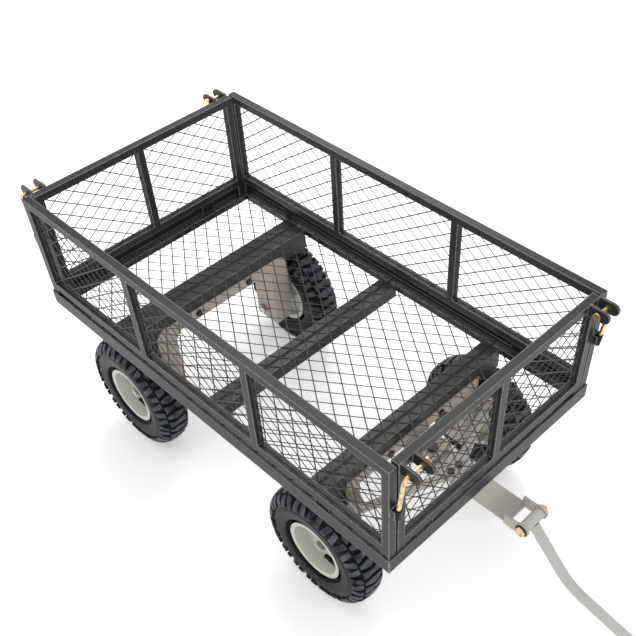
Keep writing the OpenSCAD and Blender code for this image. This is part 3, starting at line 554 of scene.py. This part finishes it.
# %% [markdown]
# ## The tyres
# The real tyre is moulded rubber with chunky lugs. Bars that lean one way and the other
# in turn wrap down each shoulder like a zigzag, and blocks stand between them on the
# crown. A whole tread is hard to model on a curved ring, so one pitch is modelled flat: a
# grid whose cells are picked by a rule and extruded into lugs. An Array modifier repeats
# the pitch, and each vertex is then rolled onto the tyre's round section.

# %% Model one flat pitch of the tread
PITCHES = 19
AROUND_CELLS = 10
BAR_CELLS = 5
BAR_FILLED = 3
BLOCK_SHIFT = 3
TREAD_CELLS = 28
WALL_CELLS = 52
SECTION_CELLS = TREAD_CELLS + WALL_CELLS
SHOULDER_CELLS = 8


def is_lug(around, across):
    """Says if a cell of the flat pitch is part of a bar or a block."""
    if across >= TREAD_CELLS:
        return False
    inward = min(across, TREAD_CELLS - 1 - across)
    if inward < SHOULDER_CELLS:
        return around % BAR_CELLS < BAR_FILLED
    if inward == SHOULDER_CELLS:
        return False
    return (around + BLOCK_SHIFT) % BAR_CELLS < BAR_FILLED


select_only()
bpy.ops.mesh.primitive_grid_add(x_subdivisions=AROUND_CELLS, y_subdivisions=SECTION_CELLS, size=1)
tread = bpy.context.object
tread.name = "tyre_model"
bpy.ops.object.mode_set(mode="EDIT")
bpy.ops.mesh.select_all(action="DESELECT")
bpy.ops.object.mode_set(mode="OBJECT")
for face in tread.data.polygons:
    around = int((face.center.x + 0.5) * AROUND_CELLS)
    across = int((face.center.y + 0.5) * SECTION_CELLS)
    face.select = is_lug(around, across)
bpy.ops.object.mode_set(mode="EDIT")
bpy.ops.mesh.select_mode(type="FACE")
bpy.ops.mesh.extrude_region_move(TRANSFORM_OT_translate={"value": (0, 0, 1)})
bpy.ops.object.mode_set(mode="OBJECT")
print("one pitch has", len(tread.data.polygons), "faces")

# %% [markdown]
# ## Roll the tread into a tyre
# The section is a superellipse, rounder than a box and squarer than a circle. Each
# vertex knows how far it lies round the tyre, across the section and above the carcass,
# and one function turns these into a place. The bars get their lean there, and the wall
# its two moulded ridges and the hollow above the rim, placed by how high they lie in the
# section. The height above the carcass is kept as an attribute, which tells the rubber
# where it keeps the grooves dark as painted shade and lets the lugs' tops turn light
# with dust and painted light.

# %% Repeat the pitch and roll it up
LUG_MM = 8.0
SECTION_MIDDLE_MM = 118.0
SECTION_HALF_WIDTH_MM = 43.0
SECTION_HALF_HEIGHT_MM = 40.0
SQUARENESS = 2.7
TREAD_REACH = math.radians(72)
LEAN_POINTS = ((0, -0.11), (SHOULDER_CELLS, 0.11), (TREAD_CELLS / 2, -0.05))
LEAN_PHASE = 0.15
SHOULDER_FALL = 0.3
RIDGE_ANGLES = (math.radians(2), math.radians(-25))
RIDGE_REACH = 0.09
RIDGE_MM = 1.6
HOLLOW_RISE = -0.52
HOLLOW_REACH = 0.12
HOLLOW_MM = 4.5
LUG_EDGE_MM = 1.1


def lean(around, across):
    """Shift round the tyre, in pitches: one bar leans forward and the next one back."""
    inward = min(across, TREAD_CELLS - across)
    amount = 0.0
    for (x0, y0), (x1, y1) in zip(LEAN_POINTS, LEAN_POINTS[1:]):
        if x0 <= inward <= x1:
            amount = y0 + (y1 - y0) * (inward - x0) / (x1 - x0)
    return amount * math.cos(2 * math.pi * (around - LEAN_PHASE))


def section_angle(across):
    """Angle round the section from the outer wall, pi / 2 at the crown."""
    if across <= TREAD_CELLS:
        return math.pi / 2 - TREAD_REACH + 2 * TREAD_REACH * across / TREAD_CELLS
    rest = 2 * math.pi - 2 * TREAD_REACH
    return math.pi / 2 + TREAD_REACH + rest * (across - TREAD_CELLS) / WALL_CELLS


def section_point(angle):
    """Place on the carcass, in mm: along the axle and out from it."""
    power = 2 / SQUARENESS
    side = math.copysign(abs(math.cos(angle)) ** power, math.cos(angle))
    rise = math.copysign(abs(math.sin(angle)) ** power, math.sin(angle))
    return Vector((SECTION_HALF_WIDTH_MM * side,
                   SECTION_MIDDLE_MM + SECTION_HALF_HEIGHT_MM * rise))


def wall_relief(angle):
    """Height over the carcass, in mm, of the wall's ridges and of the hollow by the rim."""
    rise = math.sin(angle)
    ridge = max(0.0, 1 - min(abs(rise - math.sin(a)) for a in RIDGE_ANGLES) / RIDGE_REACH)
    hollow = min(1.0, max(0.0, (HOLLOW_RISE - rise) / HOLLOW_REACH))
    return RIDGE_MM * ridge - HOLLOW_MM * hollow


def roll_up(flat):
    """Rolls a vertex of the flat tread onto the tyre, whose axle is the Y axis."""
    across = (flat.y + 0.5) * SECTION_CELLS
    turn = 2 * math.pi * (flat.x + 0.5 + lean(flat.x + 0.5, across)) / PITCHES
    angle = section_angle(across)
    point = section_point(angle)
    tangent = section_point(angle + 0.01) - section_point(angle - 0.01)
    normal = Vector((tangent.y, -tangent.x)).normalized()
    fall = 1 - SHOULDER_FALL * abs(math.cos(angle)) ** 2
    height = LUG_MM * fall * flat.z + (0 if across <= TREAD_CELLS else wall_relief(angle))
    point = (point + normal * height) * MM
    return Vector((point.y * math.cos(turn), point.x, point.y * math.sin(turn)))


repeat = tread.modifiers.new("repeat", "ARRAY")
repeat.count = PITCHES
repeat.relative_offset_displace = (1, 0, 0)
repeat.use_merge_vertices = True
apply_modifiers(tread)
# Height above the carcass, which the rubber turns into painted shade in the grooves and lighter
# lug tops.
relief = tread.data.attributes.new("relief", "FLOAT", "POINT")
for vertex in tread.data.vertices:
    relief.data[vertex.index].value = vertex.co.z
    vertex.co = roll_up(vertex.co)
tidy_mesh(tread)
soften = tread.modifiers.new("soften", "BEVEL")
soften.width = LUG_EDGE_MM * MM
soften.segments = 1
soften.angle_limit = math.radians(50)
apply_modifiers(tread)
smooth(tread, 40)
print("the tyre has", len(tread.data.polygons), "faces, reach",
      round(max(v.co.x for v in tread.data.vertices), 4))

# %% [markdown]
# ## The rims
# A pressed steel rim is a lathe shape: rolled lips, a barrel that flows into a dished
# disc, and a hub tube for the bearings. Its section is drawn as a closed outline of
# corners, each its distance from the axle and its place along it. A vertex bevel rounds
# them as pressing does, and the Screw modifier turns the outline.

# %% Turn the rim
RIM_STEPS = 96
RIM_ROUND_MM = 1.1
RIM_SECTION = (
    (70, 34.5), (74, 36), (82, 36), (82, 33.5), (75, 32.5), (72.5, 29), (72.5, -29), (75, -32.5),
    (82, -33.5), (82, -36), (74, -36), (70, -34.5), (70, -12), (60, -11), (50, -3.5), (24, -3),
    (22, -38), (17.55, -38), (17.55, -26), (15, -26), (15, -2), (17.55, -2), (17.55, 10), (22, 10),
    (23, 1), (48, 0), (56, -3), (62, -6.5), (66, -7), (69, -4), (70, 2))
rim = turned("rim_model", RIM_SECTION, RIM_STEPS, RIM_ROUND_MM)
print("the rim has", len(rim.data.polygons), "faces")

# %% [markdown]
# ## The valve stems
# A snap-in valve is a rubber stem with a wide foot that seals in the rim and a ribbed
# cap. It is another lathe shape, and it points from the rim's barrel to the axle.

# %% Turn the valve stem
VALVE_STEPS = 32
VALVE_FOOT_MM = 69.2
VALVE_OUT_MM = 26.0
VALVE_SECTION = (
    (0.01, 0), (7.8, 0), (7.8, 2.5), (6.6, 6), (6.0, 9), (6.0, 26), (4.9, 27), (4.9, 28.5),
    (5.6, 29), (5.6, 31), (5.2, 31.5), (5.2, 32.5), (5.6, 33), (5.6, 35), (5.2, 35.5),
    (5.2, 36.5), (5.6, 37), (5.4, 40), (3.2, 42), (0.01, 42))
valve = turned("valve_model", VALVE_SECTION, VALVE_STEPS)
stem_turn = Matrix.Rotation(math.pi / 2, 4, "Z")
stem_place = Matrix.Translation((VALVE_FOOT_MM * MM, VALVE_OUT_MM * MM, 0)) @ stem_turn
print("the valve has", len(valve.data.polygons), "faces")

# %% Put a tyre, a rim and a valve at each corner
for corner in CORNERS:
    place = wheel_place(corner)
    for model, kind, material, slot, extra in (
            (tread, "tyre", tyre_rubber, "tyre_rubber", Matrix.Identity(4)),
            (rim, "rim", rim_coat, "rim_coat", Matrix.Identity(4)),
            (valve, "valve", black_rubber, "black_rubber", stem_place)):
        piece = copy_to(model, f"{kind}_{corner}_shape", place @ extra)
        finish_piece(piece, material, slot, "wheel_" + corner, f"{kind}_{corner}")
for model in (tread, rim, valve):
    bpy.data.objects.remove(model)
print("four wheels stand on the floor")

# %% [markdown]
# ## The handle's tube
# The handle is one bent steel tube. Its path is a steep drop from the clevis, an arc
# and a long run to the grip loop. A curve with a round bevel gives the tube, and
# it is then made a mesh.

# %% Bend the handle's tube
TUBE_RADIUS = 0.0125
BEND_RADIUS = 0.14
BEND_FROM_BED = 0.845
BEND_HEIGHT = 0.195
TUBE_START = 0.011
LOOP_LENGTH = 0.1
ARC_STEPS = 16
clevis_low, clevis_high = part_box("handle_bush")
clevis = (clevis_low + clevis_high) / 2
sleeve_low, sleeve_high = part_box("grip_sleeve")
grip = (sleeve_low + sleeve_high) / 2
corner_point = Vector((bed_middle.x + BEND_FROM_BED, 0, BEND_HEIGHT))
drop = (corner_point - clevis).normalized()
run = (grip - corner_point).normalized()
bend_angle = drop.angle(run)
setback = BEND_RADIUS * math.tan(bend_angle / 2)
arc_start = corner_point - drop * setback
arc_end = corner_point + run * setback
inward = (run - drop).normalized()
arc_centre = corner_point + inward * (BEND_RADIUS / math.cos(bend_angle / 2))
path = [clevis + drop * TUBE_START]
for step in range(ARC_STEPS + 1):
    share = step / ARC_STEPS
    spoke = (arc_start - arc_centre).slerp(arc_end - arc_centre, share)
    path.append(arc_centre + spoke.normalized() * BEND_RADIUS)
path.append(grip - run * LOOP_LENGTH)
tube_curve = bpy.data.curves.new("handle_tube_shape", "CURVE")
tube_curve.dimensions = "3D"
tube_curve.bevel_depth = TUBE_RADIUS
tube_curve.bevel_resolution = 8
tube_curve.use_fill_caps = True
spline = tube_curve.splines.new("POLY")
spline.points.add(len(path) - 1)
for point, place in zip(spline.points, path):
    point.co = (*place, 1)
tube = bpy.data.objects.new("handle_tube_shape", tube_curve)
bpy.context.scene.collection.objects.link(tube)
select_only(tube)
bpy.ops.object.convert(target="MESH")
tube = bpy.context.object
tidy_mesh(tube)
smooth(tube)
finish_piece(tube, tube_coat, "tube_coat", "handle", "handle_tube")
print("the bend turns", round(math.degrees(bend_angle), 1), "degrees")

# %% [markdown]
# ## The clevis washers
# The handle's bolt clamps a dark washer under its head and one under its nut. A washer
# is a short ring with rounded corners, so it is turned like the rims and then copied to
# the outer face of each clevis ear.

# %% Turn the washers
WASHER_SECTION = ((7.5, 0), (15.0, 0), (15.0, 1.8), (7.5, 1.8))
WASHER_STEPS = 40
WASHER_ROUND_MM = 0.4
EAR_OUTER_FACE = 0.0365
washer = turned("washer_model", WASHER_SECTION, WASHER_STEPS, WASHER_ROUND_MM)
for side, name in ((1, "left"), (-1, "right")):
    turn_over = Matrix.Scale(side, 4, Vector((0, 1, 0)))
    place = Matrix.Translation(clevis + Vector((0, side * EAR_OUTER_FACE, 0))) @ turn_over
    piece = copy_to(washer, "clevis_washer_" + name, place)
    finish_piece(piece, black_bolts, "black_bolts", "tongue")
bpy.data.objects.remove(washer)
print("two washers on the clevis")

# %% [markdown]
# ## The floor
# A large flat sheet of white paper is enough. It is lit a little from behind, like a
# light table, which keeps the cart's shadows as pale as in the photograph. It is staged,
# so it isn't part of the cart.

# %% Lay the floor
PAPER_CLOUD_MM = 400
select_only()
bpy.ops.mesh.primitive_plane_add(size=40, location=(0, 0, 0))
floor = bpy.context.object
floor.name = "studio_floor"
paper, paper_surface = new_material("white_paper")
paper_place = add_node(paper, "ShaderNodeTexCoord")
paper_cloud = add_node(paper, "ShaderNodeTexNoise",
                       {"Scale": per_metre(PAPER_CLOUD_MM), "Detail": 1},
                       {"Vector": paper_place.outputs["Object"]})
tint = add_node(paper, "ShaderNodeValToRGB", None, {"Fac": paper_cloud.outputs["Fac"]})
tint.color_ramp.elements[0].color = srgb("#f6f6f6")
tint.color_ramp.elements[1].color = srgb("#fafafa")
paper.node_tree.links.new(tint.outputs["Color"], paper_surface.inputs["Base Color"])
paper_surface.inputs["Roughness"].default_value = 0.9
paper_surface.inputs["Emission Color"].default_value = (1, 1, 1, 1)
paper_surface.inputs["Emission Strength"].default_value = 0.22
floor.data.materials.append(paper)
print("floor laid")
